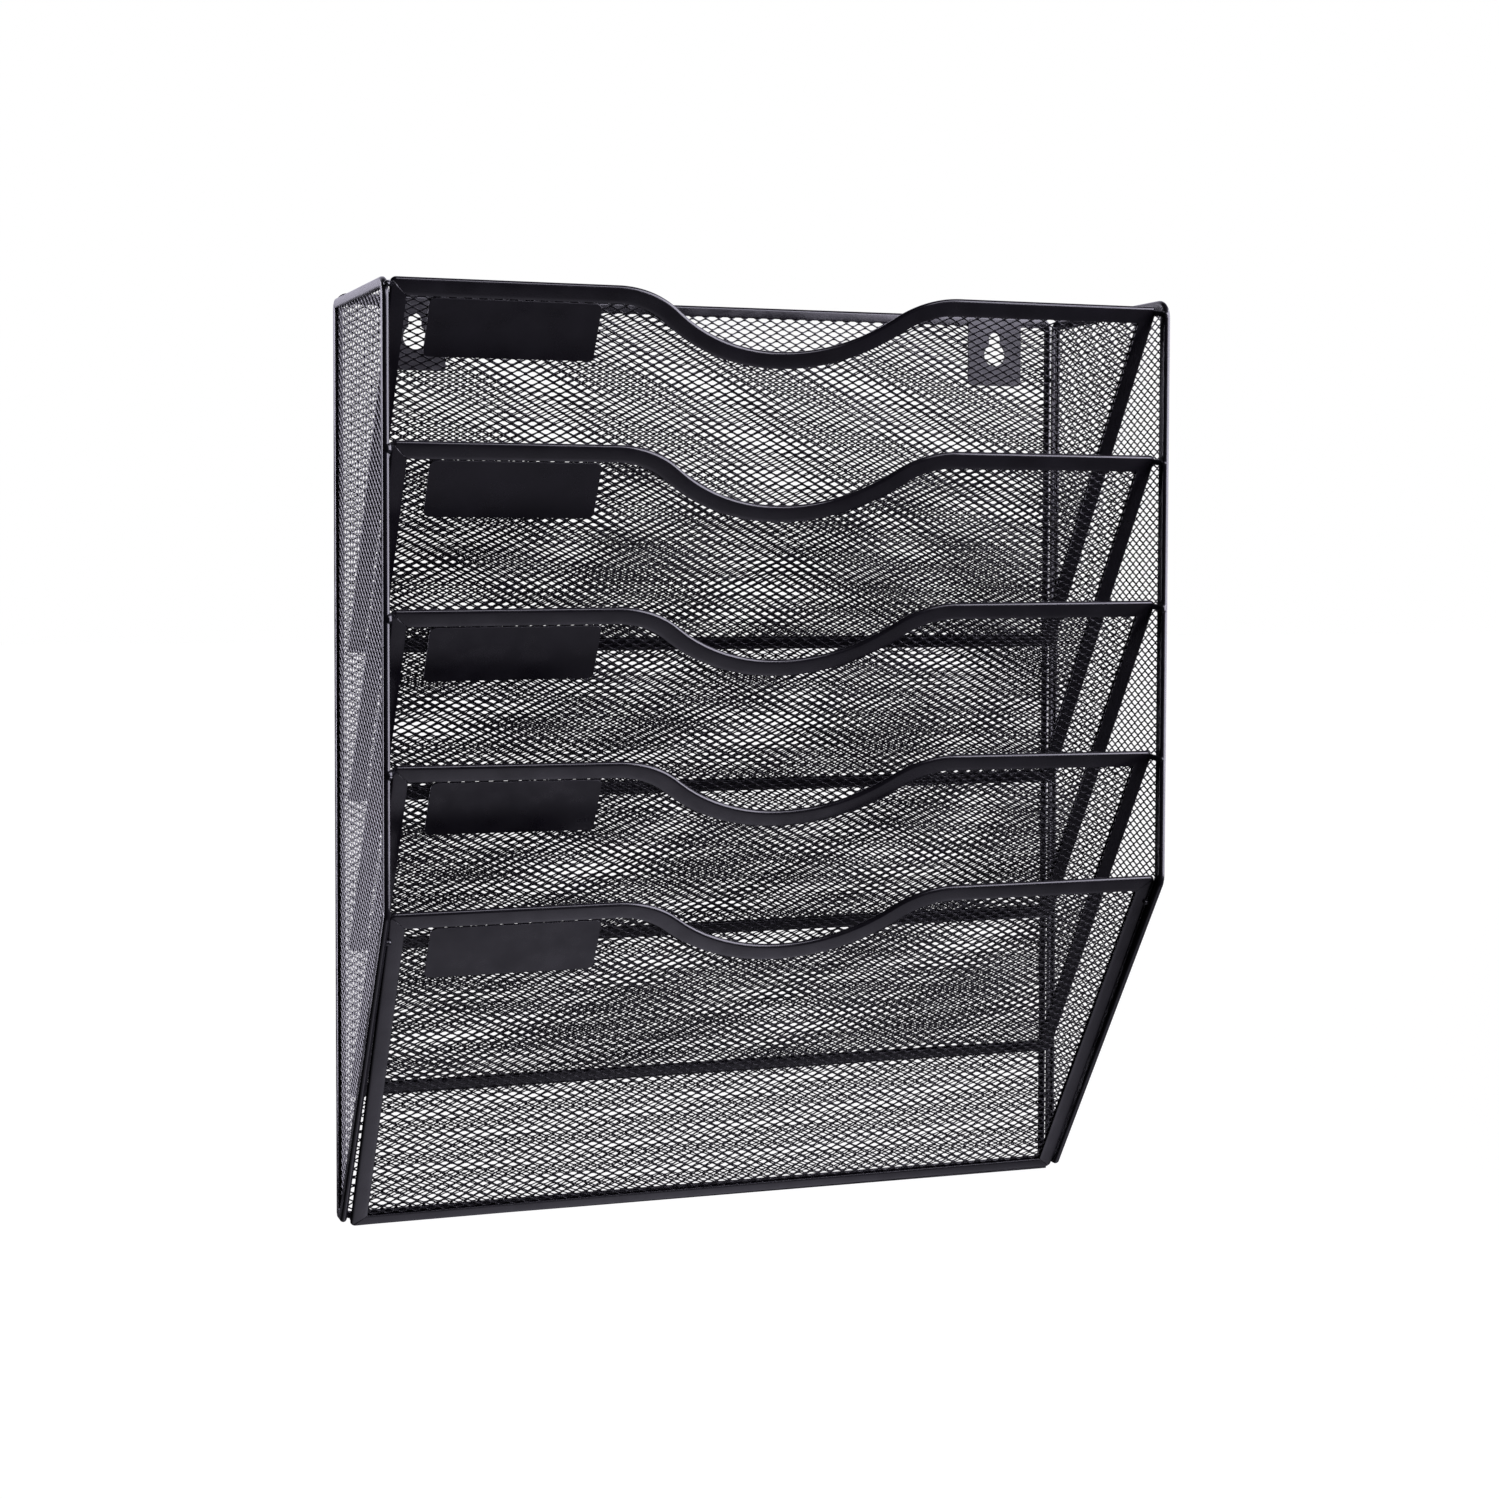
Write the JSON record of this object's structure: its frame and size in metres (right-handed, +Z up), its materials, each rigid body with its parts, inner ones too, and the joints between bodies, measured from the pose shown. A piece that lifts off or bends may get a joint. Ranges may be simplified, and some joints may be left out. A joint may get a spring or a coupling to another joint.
{
  "type": "wall-mounted mesh magazine file holder",
  "caption": "Wall-mounted organiser with slanted document pockets: expanded-metal mesh panels in folded black steel rims, finger notches, label plates and keyhole hangers.",
  "frame": {"origin": "on the wall face, in the middle of the holder's width, level with the foot of the side panels", "axes": "+X across the holder to the right of someone facing it, +Y into the wall, +Z up"},
  "size_m": [0.3318, 0.1138, 0.391],
  "materials": {
    "rim": "satin black powder coat",
    "mesh": "satin black powder coat on expanded mesh",
    "label_plate": "smooth satin black powder coat",
    "floor_strip": "satin black powder coat",
    "hanger_plate": "satin black powder coat",
    "weld": "gloss black coat over weld beads"
  },
  "bodies": {
    "root": {"back_bottom_rail": "rim", "back_left_rail": "rim", "back_mesh": "mesh", "back_right_rail": "rim", "back_top_rail": "rim", "hanger_plate_left": "hanger_plate", "hanger_plate_right": "hanger_plate", "left_side_foot_rail": "rim", "left_side_front_rail": "rim", "left_side_mesh": "mesh", "left_side_rear_rail": "rim", "left_side_slant_rail": "rim", "left_side_top_rail": "rim", "left_side_welds": "weld", "pocket_1_bottom_rail": "rim", "pocket_1_floor": "floor_strip", "pocket_1_label_plate": "label_plate", "pocket_1_left_rail": "rim", "pocket_1_mesh": "mesh", "pocket_1_right_rail": "rim", "pocket_1_top_rail": "rim", "pocket_2_bottom_rail": "rim", "pocket_2_floor": "floor_strip", "pocket_2_label_plate": "label_plate", "pocket_2_left_rail": "rim", "pocket_2_mesh": "mesh", "pocket_2_right_rail": "rim", "pocket_2_top_rail": "rim", "pocket_3_bottom_rail": "rim", "pocket_3_floor": "floor_strip", "pocket_3_label_plate": "label_plate", "pocket_3_left_rail": "rim", "pocket_3_mesh": "mesh", "pocket_3_right_rail": "rim", "pocket_3_top_rail": "rim", "pocket_4_bottom_rail": "rim", "pocket_4_floor": "floor_strip", "pocket_4_label_plate": "label_plate", "pocket_4_left_rail": "rim", "pocket_4_mesh": "mesh", "pocket_4_right_rail": "rim", "pocket_4_top_rail": "rim", "pocket_5_bottom_rail": "rim", "pocket_5_floor": "floor_strip", "pocket_5_label_plate": "label_plate", "pocket_5_left_rail": "rim", "pocket_5_mesh": "mesh", "pocket_5_right_rail": "rim", "pocket_5_top_rail": "rim", "right_side_foot_rail": "rim", "right_side_front_rail": "rim", "right_side_mesh": "mesh", "right_side_rear_rail": "rim", "right_side_slant_rail": "rim", "right_side_top_rail": "rim", "right_side_welds": "weld"}
  },
  "joints": []
}
